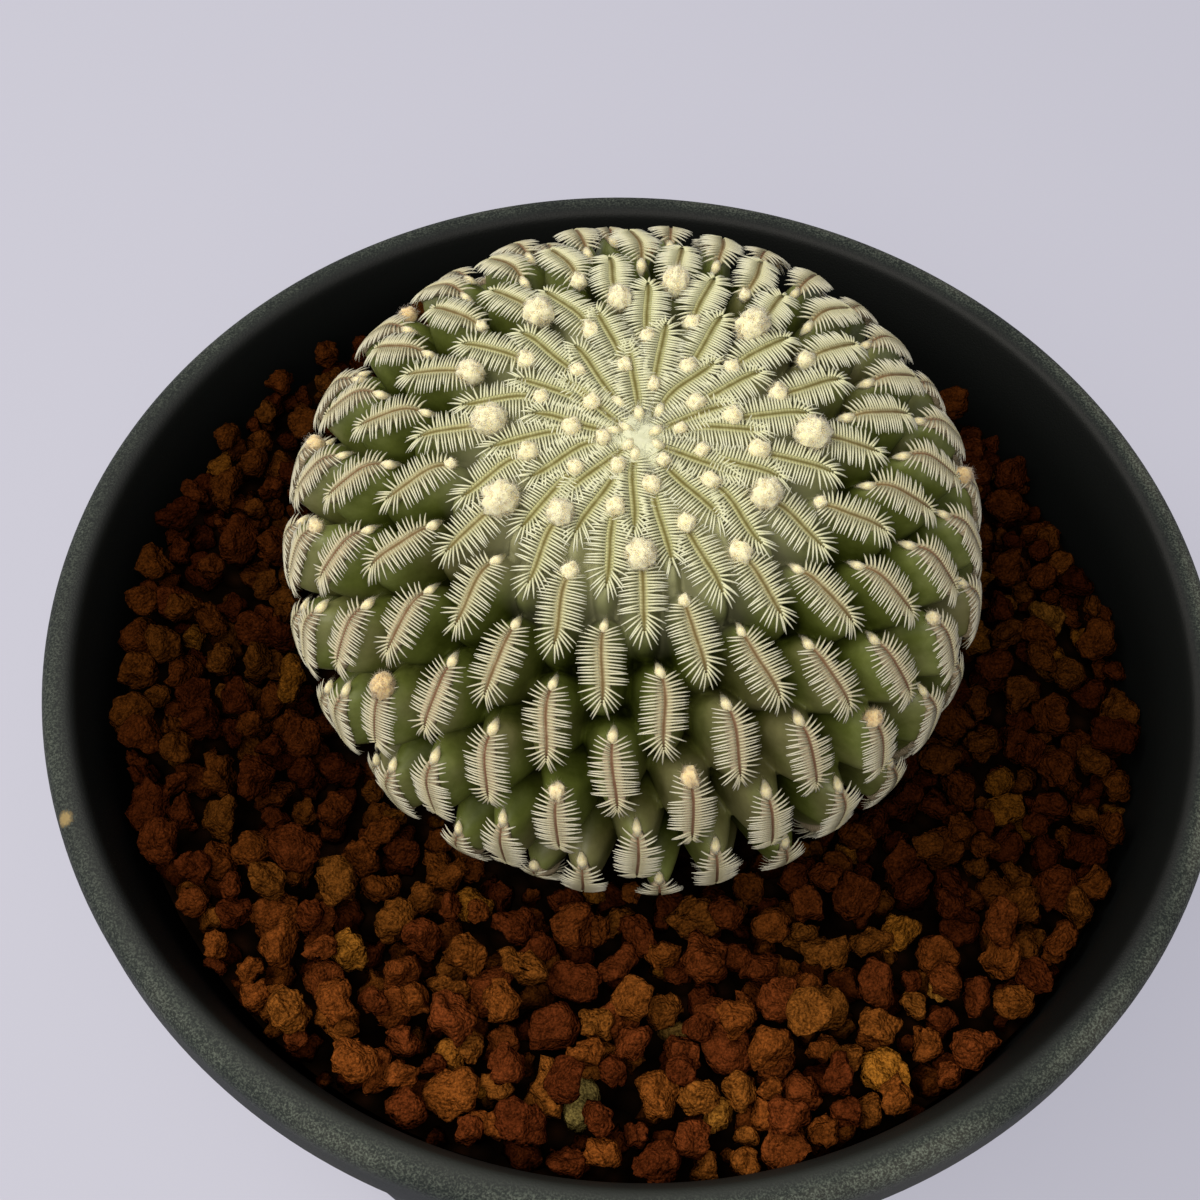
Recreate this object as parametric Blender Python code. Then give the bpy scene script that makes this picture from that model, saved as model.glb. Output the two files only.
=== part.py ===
"""A hatchet cactus in a round plastic pot of baked-clay gravel.

The script works in millimetres and turns its meshes into metres at the end.
+Z is up, the origin is the middle of the pot's foot, and -Y is the front.
"""
import math
import random

import bmesh
import bpy
import numpy as np
from mathutils import Vector, noise
from mathutils.geometry import delaunay_2d_cdt

MM = 0.001
SEGMENTS = 64            # facets round every turned shape
GAP = 0.35               # clearance between pieces that touch

# Pot: a moulded round pot with a rolled rim, which flares into the wall inside, and a foot ring.
POT_HEIGHT = 80.0
RIM_RADIUS = 60.0
RIM_WIDTH = 3.4          # level top band of the rim
RIM_DEPTH = 8.6          # height of the rolled band outside
FLARE_DROP = 5.2         # from the top down to where the rim's flare meets the wall
WALL = 2.0
FOOT_RADIUS = 43.0
FOOT_WIDTH = 4.6
FOOT_RECESS = 1.8
DRAIN_RADIUS = 5.4

# Gravel: its surface lies a little higher at the back left than at the right.
SOIL_DROP = 11.2         # from the top of the rim to the middle of the gravel
SOIL_SLOPE = 3.3         # rise from the middle to the wall, on the high side
SOIL_HIGH_SIDE = math.radians(150.0)
BUMP = 0.55              # how far the levelled gravel goes up and down
BED_RINGS = 7            # rings of facets between the wall and the stem

# Stem: a flattened dome, leaning a little to the front.
STEM_CENTRE = Vector((-0.8, 7.1, 85.2))
STEM_RADIUS = 34.7
STEM_RISE = 21.9         # from the widest level to the crown
STEM_FULLNESS = 2.4      # 2 is an ellipse; more gives fuller shoulders
STEM_LEAN = math.radians(4.9)
STEM_BURIED = 19.0       # last level of tubercles, below the widest level
# Radius of the buried neck at depths below the widest level.
NECK = [(18.4, 21.0), (14.6, 24.0), (9.6, 28.0), (5.2, 33.0), (2.2, 39.0)]

# Tubercles: numbered from the crown outwards, each turned by the golden angle.
TUBERCLES = 180
DIVERGENCE = math.radians(137.516)
FIRST_TURN = math.radians(149.2)
# Distance of the n-th tubercle's upper end from the growing point: a cubic in n,
# and an easing term that fades over the first tubercles.
SPREAD = (-3.224, 0.5326, -0.002631, 0.00000962)
EASING, EASED_BY = 4.51, 12.0
# The spirals' middle moves from the crown to a point behind it in the first few mm.
CROWN = (-0.45, -0.10)
SPIRAL_MIDDLE = (0.09, 3.70)
MOVED_BY = 5.5
COMB_LENGTH = 8.2
CROWN_COMBS = 0.8        # the youngest combs are this much longer
HEADING = math.radians(5.0)
LIFT = math.radians(15.0)  # young combs at the sides turn up to the back
HANG = math.radians(18.0)  # and old ones down to the front
CREST_END = 1.3          # the body runs on past the comb
CREST_FALL = 4.0         # a crest is level, then falls by this power towards its ends
FLANK_FALL = 1.6         # and its sides by this one
NEAREST = 0.95           # least distance between corners of the stem's skin

# Loose grains on top of the gravel.
GRAINS = 26
GRAIN_SIZES = (1.9, 2.6) # smallest and largest radius
GRAIN_DETAIL = 2         # subdivisions of the ball that each is cut from
GRAIN_REACH = 1.35       # a grain's largest radius over its mean one
GRAIN_CLEAR = 1.0        # from a grain to the wall and the stem


def clear_scene():
    for thing in list(bpy.data.objects):
        bpy.data.objects.remove(thing, do_unlink=True)


def material(name, colour, roughness):
    made = bpy.data.materials.new(name)
    made.use_nodes = True
    shader = made.node_tree.nodes["Principled BSDF"]
    shader.inputs["Base Color"].default_value = (*colour, 1.0)
    shader.inputs["Roughness"].default_value = roughness
    shader.inputs["Metallic"].default_value = 0.0
    return made


def finish(name, bm, surface, smooth_below=40.0):
    """Put the mesh in the scene in metres, as one shaded object."""
    bmesh.ops.scale(bm, vec=(MM, MM, MM), verts=bm.verts)
    bmesh.ops.recalc_face_normals(bm, faces=bm.faces)
    mesh = bpy.data.meshes.new(name)
    bm.to_mesh(mesh)
    bm.free()
    mesh.shade_smooth()
    mesh.set_sharp_from_angle(angle=math.radians(smooth_below))
    mesh.materials.append(surface)
    piece = bpy.data.objects.new(name, mesh)
    bpy.context.scene.collection.objects.link(piece)
    return piece


def ramp(value, low, high):
    """0 below low, 1 above high, and a smooth rise between them."""
    t = np.clip((value - low) / (high - low), 0.0, 1.0)
    return t * t * (3.0 - 2.0 * t)


# ------------------------------------------------------------------ pot

def inner_wall(z):
    """Radius of the pot's inner wall at a height below the rim's flare."""
    top = RIM_RADIUS - RIM_WIDTH - 2.3
    bottom = FOOT_RADIUS - WALL
    return bottom + (top - bottom) * z / (POT_HEIGHT - FLARE_DROP)


def pot_profile():
    """Closed outline of the pot's wall, from the foot up outside and down inside."""
    top = POT_HEIGHT
    rim_under = top - RIM_DEPTH
    flare_end = top - FLARE_DROP
    inside = RIM_RADIUS - RIM_WIDTH
    floor = FOOT_RECESS + WALL
    return [
        (FOOT_RADIUS - FOOT_WIDTH, 0.0), (FOOT_RADIUS, 0.0), (FOOT_RADIUS + 0.9, 0.9),
        (inner_wall(rim_under) + WALL, rim_under), (RIM_RADIUS - 1.4, rim_under + 0.3),
        (RIM_RADIUS - 0.3, rim_under + 1.5), (RIM_RADIUS, top - 3.0), (RIM_RADIUS - 0.3, top - 1.3),
        (RIM_RADIUS - 1.1, top - 0.3), (RIM_RADIUS - 2.0, top), (inside + 0.35, top - 0.2),
        (inside, top - 0.7), (inside - 0.8, top - 2.2), (inner_wall(flare_end), flare_end),
        (inner_wall(floor + 1.4), floor + 1.4), (inner_wall(floor) - 1.6, floor),
        (DRAIN_RADIUS, floor), (DRAIN_RADIUS, FOOT_RECESS),
        (FOOT_RADIUS - FOOT_WIDTH - 0.4, FOOT_RECESS),
    ]


def make_pot():
    bm = bmesh.new()
    outline = [bm.verts.new((r, 0.0, z)) for r, z in pot_profile()]
    edges = [bm.edges.new((a, b)) for a, b in zip(outline, outline[1:] + outline[:1])]
    bmesh.ops.spin(bm, geom=outline + edges, cent=(0, 0, 0), axis=(0, 0, 1),
                   angle=math.tau, steps=SEGMENTS, use_merge=True)
    bmesh.ops.remove_doubles(bm, verts=bm.verts, dist=0.001)
    return finish("pot", bm, material("black_plastic", (0.022, 0.026, 0.025), 0.55), 35.0)


# ------------------------------------------------------------------ gravel bed

def soil_level(x, y):
    """Height of the levelled gravel under a point."""
    along = x * math.cos(SOIL_HIGH_SIDE) + y * math.sin(SOIL_HIGH_SIDE)
    return POT_HEIGHT - SOIL_DROP + SOIL_SLOPE * along / inner_wall(POT_HEIGHT - SOIL_DROP)


def stem_radius(drop):
    """Radius of the stem's crests at a depth below its widest level."""
    return STEM_RADIUS * (1.0 - (drop / STEM_RISE) ** STEM_FULLNESS) ** (1.0 / STEM_FULLNESS)


def ring(bm, centre, radius, height):
    """One level of SEGMENTS corners; height is a number or a function of x and y."""
    corners = []
    for i in range(SEGMENTS):
        turn = math.tau * i / SEGMENTS
        r = radius(turn) if callable(radius) else radius
        x, y = centre.x + r * math.cos(turn), centre.y + r * math.sin(turn)
        corners.append(bm.verts.new((x, y, height(x, y) if callable(height) else height)))
    return corners


def skin(bm, rings):
    """Quads between each level and the next."""
    for lower, upper in zip(rings, rings[1:]):
        for i in range(SEGMENTS):
            j = (i + 1) % SEGMENTS
            bm.faces.new((lower[i], lower[j], upper[j], upper[i]))


def cap(bm, corners):
    """Close a level with a fan from its middle."""
    middle = bm.verts.new(sum((v.co for v in corners), Vector()) / len(corners))
    for i, corner in enumerate(corners):
        bm.faces.new((corner, corners[(i + 1) % len(corners)], middle))


def make_gravel_bed():
    chance = random.Random(5)
    bm = bmesh.new()
    floor = FOOT_RECESS + WALL + GAP
    pot_axis = Vector((0.0, 0.0, 0.0))
    axis = STEM_CENTRE.to_2d().to_3d()
    widest = STEM_CENTRE.z

    def bumpy(x, y):
        return soil_level(x, y) + chance.uniform(-BUMP, BUMP)

    def around_stem(turn):
        reach = stem_radius(widest - (POT_HEIGHT - SOIL_DROP))
        level = soil_level(axis.x + reach * math.cos(turn), axis.y + reach * math.sin(turn))
        return stem_radius(widest - level - BUMP - 1.0) + 2 * GAP

    rings = [ring(bm, pot_axis, inner_wall(floor) - 2.2 - GAP, floor),
             ring(bm, pot_axis, inner_wall(floor + 1.8) - GAP, floor + 1.8)]
    cap(bm, rings[0])
    edge = inner_wall(POT_HEIGHT - SOIL_DROP - SOIL_SLOPE) - GAP
    for step in range(BED_RINGS + 1):
        t = step / BED_RINGS
        rings.append(ring(bm, axis * t, lambda turn: edge + (around_stem(turn) - edge) * t, bumpy))
    rings.append(ring(bm, axis, stem_radius(STEM_BURIED) + 2 * GAP, widest - STEM_BURIED - 1.0))
    for radius, drop in NECK:
        rings.append(ring(bm, axis, radius + GAP, widest - drop - GAP))
    skin(bm, rings)
    cap(bm, rings[-1])
    return finish("gravel_bed", bm, material("baked_clay_gravel", (0.105, 0.042, 0.018), 0.9), 20.0)


# ------------------------------------------------------------------ stem

def dome_table():
    """Distance from the crown along the crests, with the radius and height there."""
    end = math.asin((STEM_BURIED / STEM_RISE) ** (STEM_FULLNESS / 2.0))
    t = np.linspace(math.pi / 2, -end, 3000)
    power = 2.0 / STEM_FULLNESS
    radius = STEM_RADIUS * np.abs(np.cos(t)) ** power
    radius[0] = 0.0
    height = STEM_RISE * np.sign(np.sin(t)) * np.abs(np.sin(t)) ** power
    along = np.concatenate([[0.0], np.cumsum(np.hypot(np.diff(radius), np.diff(height)))])
    return along, radius, height


ALONG, RADIUS, HEIGHT = dome_table()
LAST = ALONG[-1]


def tubercles():
    """Middle, axis, length and half width of each tubercle, on the flattened-out dome."""
    n = np.arange(TUBERCLES)
    reach = sum(term * n ** power for power, term in enumerate(SPREAD)) + EASING * np.exp(-n / EASED_BY)
    growth = FIRST_TURN - n * DIVERGENCE
    moved = 1.0 - np.exp(-reach / MOVED_BY)
    x = reach * np.cos(growth) + CROWN[0] + (SPIRAL_MIDDLE[0] - CROWN[0]) * moved
    y = reach * np.sin(growth) + CROWN[1] + (SPIRAL_MIDDLE[1] - CROWN[1]) * moved
    top, turn = np.hypot(x, y), np.arctan2(y, x)
    narrowing = np.interp(top, ALONG, RADIUS) / top
    lean = np.arctan2(np.sin(growth - turn) * narrowing, np.cos(growth - turn))
    lift = LIFT * (1.0 - ramp(n, 5.0, 25.0)) - HANG * ramp(n, 60.0, 110.0)
    lean = lean + HEADING + lift * np.cos(turn)
    length = COMB_LENGTH + CROWN_COMBS * (1.0 - ramp(n, 15.0, 48.0)) - 0.8 * ramp(top, 40.0, 60.0)
    out, across = length / 2 * np.cos(lean), length / 2 * np.sin(lean) / narrowing
    x, y = x + out * np.cos(turn) - across * np.sin(turn), y + out * np.sin(turn) + across * np.cos(turn)
    middle, middle_turn = np.hypot(x, y), np.arctan2(y, x)
    swung = np.arctan2(np.sin(middle_turn - turn), np.cos(middle_turn - turn))
    lean = lean - swung * np.interp(middle, ALONG, RADIUS) / middle
    half_width = np.clip(0.11 * (reach + length / 2), 0.9, 3.9)
    return middle, middle_turn, length, lean, half_width


TUBERCLE = tubercles()


def conformal(s):
    """A flat radius at which small shapes on the dome keep their proportions."""
    scale = np.concatenate([[0.0], np.cumsum(np.diff(ALONG) / (RADIUS[1:] + 1e-9))])
    return np.interp(s, ALONG, 10.0 * np.exp(scale - scale[-1]))


def valley_depth(s, turn):
    """Depth of the valleys: shallow in the crown, deep on the shoulders, gone at the soil."""
    reach = np.hypot(s * np.cos(turn) - CROWN[0], s * np.sin(turn) - CROWN[1])
    return 0.7 + 4.9 * ramp(reach, 4.0, 24.0) - 5.3 * ramp(s, LAST - 16.0, LAST)


def relief(s, turn):
    """Height of the skin, from 0 on a crest down to minus the valley depth."""
    middle, middle_turn, length, lean, half_width = TUBERCLE
    x, y = s * np.cos(turn), s * np.sin(turn)
    dx = x[:, None] - (middle * np.cos(middle_turn))[None]
    dy = y[:, None] - (middle * np.sin(middle_turn))[None]
    down = dx * np.cos(middle_turn) + dy * np.sin(middle_turn)
    shrink = np.interp(middle, ALONG, RADIUS) / middle
    across = (dy * np.cos(middle_turn) - dx * np.sin(middle_turn)) * shrink
    u = down * np.cos(lean) + across * np.sin(lean)
    v = across * np.cos(lean) - down * np.sin(lean)
    fall = (np.abs(u) / (length / 2 + CREST_END)) ** CREST_FALL + (np.abs(v) / half_width) ** FLANK_FALL
    return -valley_depth(s, turn) * np.clip(fall.min(axis=1), 0.0, 1.0)


def place(s, turn, h):
    """Point at height h over the crests' dome, leaning and set in its place."""
    r, z = np.interp(s, ALONG, RADIUS), np.interp(s, ALONG, HEIGHT)
    ahead, behind = np.clip(s + 0.2, 0, LAST), np.clip(s - 0.2, 0, LAST)
    dr = np.interp(ahead, ALONG, RADIUS) - np.interp(behind, ALONG, RADIUS)
    dz = np.interp(ahead, ALONG, HEIGHT) - np.interp(behind, ALONG, HEIGHT)
    size = np.hypot(dr, dz)
    r, z = r - h * dz / size, z + h * dr / size
    lean = STEM_LEAN * ramp(z, -17.0, -3.0)
    x, y = r * np.cos(turn), r * np.sin(turn)
    y, z = y * np.cos(lean) - z * np.sin(lean), y * np.sin(lean) + z * np.cos(lean)
    return np.stack([x, y, z], axis=-1) + np.array(STEM_CENTRE)


def tubercle_corners():
    """Corners on each crest, on its two sides and at its foot, as (s, turn) pairs."""
    middle, middle_turn, length, lean, half_width = TUBERCLE
    levels = [(0.0, 0.0, 1), (0.72, 0.0, 2), (0.98, 0.42, 6), (1.04, 1.0, 8)]
    corners = []
    for long_way, wide_way, count in levels:
        for i in range(count):
            around = math.tau * (i + 0.5 * (count > 2)) / count
            u = long_way * length / 2 * math.cos(around)
            v = wide_way * half_width * math.sin(around)
            down = u * np.cos(lean) - v * np.sin(lean)
            across = u * np.sin(lean) + v * np.cos(lean)
            stretch = middle / np.interp(middle, ALONG, RADIUS)
            x = (middle + down) * np.cos(middle_turn) - across * stretch * np.sin(middle_turn)
            y = (middle + down) * np.sin(middle_turn) + across * stretch * np.cos(middle_turn)
            corners.append(np.stack([np.hypot(x, y), np.arctan2(y, x)], axis=-1))
    return np.concatenate(corners)


def spread_out(corners):
    """Keep the corners that stand clear of all the earlier ones."""
    kept, places = [], []
    for s, turn in corners:
        if s > LAST - 1.2:
            continue
        spot = place(np.array([s]), np.array([turn]), np.array([0.0]))[0]
        if places and np.min(np.sum((np.array(places) - spot) ** 2, axis=1)) < NEAREST ** 2:
            continue
        kept.append((s, turn))
        places.append(spot)
    return kept


def make_stem():
    corners = [(0.05, 0.0)] + spread_out(tubercle_corners())
    edge = [(LAST, math.tau * i / SEGMENTS) for i in range(SEGMENTS)]
    s, turn = np.array(edge + corners).T
    flat = conformal(s)[:, None] * np.stack([np.cos(turn), np.sin(turn)], axis=-1)
    loop = [(i, (i + 1) % SEGMENTS) for i in range(SEGMENTS)]
    _, _, triangles, _, _, _ = delaunay_2d_cdt([Vector(p) for p in flat], loop, [], 1, 1e-6)
    heights = relief(s, turn)
    heights[:SEGMENTS] = 0.0
    bm = bmesh.new()
    verts = [bm.verts.new(p) for p in place(s, turn, heights)]
    for triangle in triangles:
        bm.faces.new([verts[i] for i in triangle])
    axis = STEM_CENTRE.to_2d().to_3d()
    rings = [verts[:SEGMENTS]]
    for radius, drop in NECK:
        rings.append(ring(bm, axis, radius, STEM_CENTRE.z - drop))
    skin(bm, rings)
    cap(bm, rings[-1])
    return finish("cactus", bm, material("cactus_skin", (0.055, 0.085, 0.035), 0.6), 60.0)


# ------------------------------------------------------------------ loose grains

def grain_places():
    """Spots on the open gravel, clear of the wall, the stem and each other."""
    chance = random.Random(11)
    spots = []
    while len(spots) < GRAINS:
        size = chance.uniform(*GRAIN_SIZES)
        reach = inner_wall(POT_HEIGHT - SOIL_DROP - SOIL_SLOPE) - GRAIN_REACH * size - GRAIN_CLEAR
        r, turn = reach * math.sqrt(chance.random()), chance.uniform(0, math.tau)
        spot = Vector((r * math.cos(turn), r * math.sin(turn)))
        if (spot - STEM_CENTRE.to_2d()).length < STEM_RADIUS + GRAIN_REACH * size + GRAIN_CLEAR:
            continue
        if any((spot - other).length < GRAIN_REACH * (size + taken) + 2 * GAP for other, taken in spots):
            continue
        spots.append((spot, size))
    return spots


def make_grain(number, spot, size, surface):
    bm = bmesh.new()
    bmesh.ops.create_icosphere(bm, subdivisions=GRAIN_DETAIL, radius=1.0)
    stretch = Vector((1.0 + 0.12 * math.sin(number * 2.1), 1.0 - 0.1 * math.sin(number * 1.3), 0.82))
    for v in bm.verts:
        lump = 1.0 + 0.16 * noise.noise(v.co * 1.4 + Vector((number * 3.7, 0.0, 1.0)))
        v.co = Vector(a * b for a, b in zip(v.co, stretch)) * size * lump
    low = min(v.co.z for v in bm.verts)
    rest = soil_level(*spot) + BUMP + GAP - low
    bmesh.ops.translate(bm, vec=(spot.x, spot.y, rest), verts=bm.verts)
    return finish("grain_%02d" % number, bm, surface, 20.0)


def main():
    clear_scene()
    make_pot()
    make_gravel_bed()
    make_stem()
    surface = material("red_clay_grain", (0.17, 0.062, 0.025), 0.88)
    for number, (spot, size) in enumerate(grain_places(), start=1):
        make_grain(number, spot, size, surface)


main()
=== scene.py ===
import math
import random

import bpy
import numpy as np
from mathutils import Matrix, Vector


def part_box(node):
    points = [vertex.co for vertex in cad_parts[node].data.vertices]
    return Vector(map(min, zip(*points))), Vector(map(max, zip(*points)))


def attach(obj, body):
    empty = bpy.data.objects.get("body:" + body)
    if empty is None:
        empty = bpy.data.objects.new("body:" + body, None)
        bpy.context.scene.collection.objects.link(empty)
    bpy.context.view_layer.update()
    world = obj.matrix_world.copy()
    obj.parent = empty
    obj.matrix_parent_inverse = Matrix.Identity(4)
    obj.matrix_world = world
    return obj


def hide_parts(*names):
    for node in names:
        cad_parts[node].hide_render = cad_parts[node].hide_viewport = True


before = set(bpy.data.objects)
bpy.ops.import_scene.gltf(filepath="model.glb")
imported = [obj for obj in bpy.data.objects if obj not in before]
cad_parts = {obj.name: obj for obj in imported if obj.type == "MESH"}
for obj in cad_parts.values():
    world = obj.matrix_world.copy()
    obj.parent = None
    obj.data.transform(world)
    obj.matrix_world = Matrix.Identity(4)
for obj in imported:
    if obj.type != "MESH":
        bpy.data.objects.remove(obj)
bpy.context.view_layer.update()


# ---------------------------------------------------------------------------
# Pot
# An injection-moulded polypropylene pot, turned from one outline, with a rolled
# rim that flares into the wall inside. The top of the rim has weathered to a
# grainy grey-green, painted lighter at the right front as painted light, its
# inner edge is worn bare, and dust lies in the flare, painted heavier at the
# front as painted light.
# ---------------------------------------------------------------------------

MM = 0.001
POT_LOW, POT_HIGH = [np.array(corner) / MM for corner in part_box("pot")]
RIM_RADIUS = (POT_HIGH[0] - POT_LOW[0]) / 2
POT_TOP = POT_HIGH[2]
POT_STEPS = 240
FOOT_INSIDE, FOOT_OUTSIDE = 38.4, 43.1     # radii of the ring that the pot stands on
FLOOR_UNDER, FLOOR_TOP = 1.8, 3.8
DRAIN_RADIUS = 5.4
WALL = 2.0
WALL_FOOT, WALL_HEAD = 41.0, RIM_RADIUS - 5.7   # inside radii, at the foot and under the flare
RIM_UNDER = 71.4
FLARE_END = POT_TOP - 5.2


def linear(shade):
    """Linear colour of an sRGB hex shade."""
    parts = [int(shade[i:i + 2], 16) / 255 for i in (1, 3, 5)]
    return [p / 12.92 if p <= 0.04045 else ((p + 0.055) / 1.055) ** 2.4 for p in parts] + [1.0]


def add(finish, kind, settings=None, stops=None, **inputs):
    """A node of the finish. Its inputs are named, or i0, i1... by number. Each takes a value, the
    output of another node, or another node, which stands for its first output."""
    node = finish.node_tree.nodes.new(kind)
    for name, value in (settings or {}).items():
        setattr(node, name, value)
    if stops:
        steps = node.color_ramp.elements
        while len(steps) < len(stops):
            steps.new(1.0)
        for step, (position, shade) in zip(steps, stops):
            step.position, step.color = position, linear(shade)
    for name, value in inputs.items():
        by_number = name[0] == "i" and name[1:].isdigit()
        socket = node.inputs[int(name[1:]) if by_number else name.replace("_", " ")]
        if isinstance(value, bpy.types.Node):
            value = value.outputs[0]
        if isinstance(value, bpy.types.NodeSocket):
            finish.node_tree.links.new(value, socket)
        else:
            socket.default_value = value
    return node


def new_finish(name, **constants):
    """A material with its shader's own constants set. What varies is linked afterwards."""
    finish = bpy.data.materials.new(name)
    finish.use_nodes = True
    shader = finish.node_tree.nodes["Principled BSDF"]
    for socket, value in constants.items():
        shader.inputs[socket.replace("_", " ")].default_value = value
    return finish


def link(finish, node, socket):
    """Link a node to the socket of that name on the finish's shader."""
    shader = finish.node_tree.nodes["Principled BSDF"]
    finish.node_tree.links.new(node.outputs[0], shader.inputs[socket])


def inner_wall(z):
    """Radius of the inside of the pot at a height under the rim's flare."""
    return WALL_FOOT + (WALL_HEAD - WALL_FOOT) * z / FLARE_END


def rounded(corners, steps=6):
    """A closed outline from (radius, height, rounding) corners."""
    outline = []
    for i, (r, z, size) in enumerate(corners):
        here = np.array([r, z])
        before, after = (np.array(corners[j % len(corners)][:2]) - here for j in (i - 1, i + 1))
        start = here + before / np.linalg.norm(before) * size
        end = here + after / np.linalg.norm(after) * size
        for t in np.linspace(0, 1, steps):
            outline.append((1 - t) ** 2 * start + 2 * t * (1 - t) * here + t ** 2 * end)
    return outline


bpy.ops.object.select_all(action="DESELECT")
outline = rounded([
    (FOOT_INSIDE, 0.0, 0.4), (FOOT_OUTSIDE, 0.0, 0.9), (inner_wall(RIM_UNDER) + WALL, RIM_UNDER, 0.5),
    (59.5, RIM_UNDER + 0.1, 1.6), (RIM_RADIUS + 0.03, POT_TOP, 2.3), (56.6, POT_TOP - 0.05, 0.8),
    (inner_wall(FLARE_END), FLARE_END, 2.6), (inner_wall(4.0), FLOOR_TOP, 1.8),
    (DRAIN_RADIUS, FLOOR_TOP, 0.4), (DRAIN_RADIUS, FLOOR_UNDER, 0.4),
    (FOOT_INSIDE - 0.3, FLOOR_UNDER, 0.3)])
bpy.ops.mesh.primitive_circle_add(vertices=len(outline), radius=RIM_RADIUS * MM)
pot = bpy.context.object
pot.name = "pot_shell"
for corner, (r, z) in zip(pot.data.vertices, outline):
    corner.co = (r * MM, 0.0, z * MM)
bpy.ops.object.mode_set(mode="EDIT")
bpy.ops.mesh.select_all(action="SELECT")
bpy.ops.mesh.spin(steps=POT_STEPS, angle=math.tau, center=(0, 0, 0), axis=(0, 0, 1))
bpy.ops.mesh.select_all(action="SELECT")
bpy.ops.mesh.remove_doubles(threshold=0.00001)
bpy.ops.mesh.normals_make_consistent(inside=False)
bpy.ops.object.mode_set(mode="OBJECT")
bpy.ops.object.shade_smooth_by_angle(angle=math.radians(50))

# Moulded polypropylene: black, with a soft, broad gloss. Its chalky bloom is matt.
plastic = new_finish("weathered_polypropylene", IOR=1.49)
place = add(plastic, "ShaderNodeTexCoord").outputs["Object"]
axes = add(plastic, "ShaderNodeSeparateXYZ", Vector=place)
height = axes.outputs["Z"]
flat = add(plastic, "ShaderNodeCombineXYZ", X=axes.outputs["X"], Y=axes.outputs["Y"])
radius = add(plastic, "ShaderNodeVectorMath", {"operation": "LENGTH"}, i0=flat).outputs["Value"]
# Bloom grows outwards from the worn inner edge of the rim, in grit about 0.2 mm
# across. On the side of the rim little of its chalk is left.
outward = add(plastic, "ShaderNodeMapRange", {"interpolation_type": "SMOOTHSTEP"}, Value=radius,
              From_Min=56.8 * MM, From_Max=59.0 * MM)
on_rim = add(plastic, "ShaderNodeMapRange", Value=height, From_Min=70.9 * MM, From_Max=71.6 * MM)
open_rim = add(plastic, "ShaderNodeMapRange", Value=radius, From_Min=56.0 * MM, From_Max=57.0 * MM)
outer = add(plastic, "ShaderNodeMath", {"operation": "MULTIPLY"}, i0=outward, i1=on_rim)
upper_side = add(plastic, "ShaderNodeMapRange", Value=height, From_Min=76.6 * MM, From_Max=78.9 * MM,
                 To_Min=0.12, To_Max=1.0)
grit = add(plastic, "ShaderNodeTexNoise", Vector=place, Scale=4600.0, Detail=3.0, Roughness=0.7)
drift = add(plastic, "ShaderNodeTexNoise", Vector=place, Scale=90.0, Detail=3.0)
speckle = add(plastic, "ShaderNodeMapRange", Value=grit, From_Min=0.45, From_Max=0.69)
patchy = add(plastic, "ShaderNodeMapRange", Value=drift, From_Min=0.3, From_Max=0.7,
             To_Min=0.45, To_Max=1.0)
# Painted light: the rim's bloom is painted lighter towards the right front and darker towards the left
# back, as if lit from the right front.
rightward = add(plastic, "ShaderNodeVectorMath", {"operation": "DOT_PRODUCT"}, i0=place,
              i1=(0.98, -0.2, 0.0)).outputs["Value"]
painted_side_light = add(plastic, "ShaderNodeMapRange", Value=rightward, From_Min=-RIM_RADIUS * MM,
            From_Max=RIM_RADIUS * MM, To_Min=0.55, To_Max=1.3)
patchy_and_side_lit = add(plastic, "ShaderNodeMath", {"operation": "MULTIPLY"}, i0=patchy, i1=painted_side_light)
bloom_and_side_light = add(plastic, "ShaderNodeMath", {"operation": "MULTIPLY"}, i0=outer, i1=patchy_and_side_lit)
bare = add(plastic, "ShaderNodeValToRGB", Fac=bloom_and_side_light, stops=[
    (0.0, "#080A0A"), (0.08, "#0F1313"), (0.5, "#161D1B"), (1.0, "#33342F")])
# A film of dust lies in the flare. It is painted heavier at the front, partly dust and partly painted
# light on the front of the inner wall.
film = add(plastic, "ShaderNodeMapRange", Value=height, From_Min=70.0 * MM, From_Max=79.0 * MM)
front = add(plastic, "ShaderNodeMapRange", Value=axes.outputs["Y"], From_Min=-56.0 * MM,
            From_Max=-38.0 * MM, To_Min=0.26, To_Max=0.02)
within = add(plastic, "ShaderNodeMapRange", Value=radius, From_Min=58.4 * MM, From_Max=56.9 * MM)
lying = add(plastic, "ShaderNodeMath", {"operation": "MULTIPLY"}, i0=film, i1=within)
dust_and_painted_light = add(plastic, "ShaderNodeMath", {"operation": "MULTIPLY"}, i0=lying, i1=front)
base = add(plastic, "ShaderNodeMixRGB", Fac=dust_and_painted_light, Color1=bare, Color2=linear("#50544F"))
dusting = add(plastic, "ShaderNodeMath", {"operation": "MULTIPLY"}, i0=bloom_and_side_light, i1=speckle)
chalk = add(plastic, "ShaderNodeMath", {"operation": "MULTIPLY"}, i0=dusting, i1=upper_side)
spotted = add(plastic, "ShaderNodeMixRGB", Fac=chalk, Color1=base, Color2=linear("#70786C"))
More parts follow.
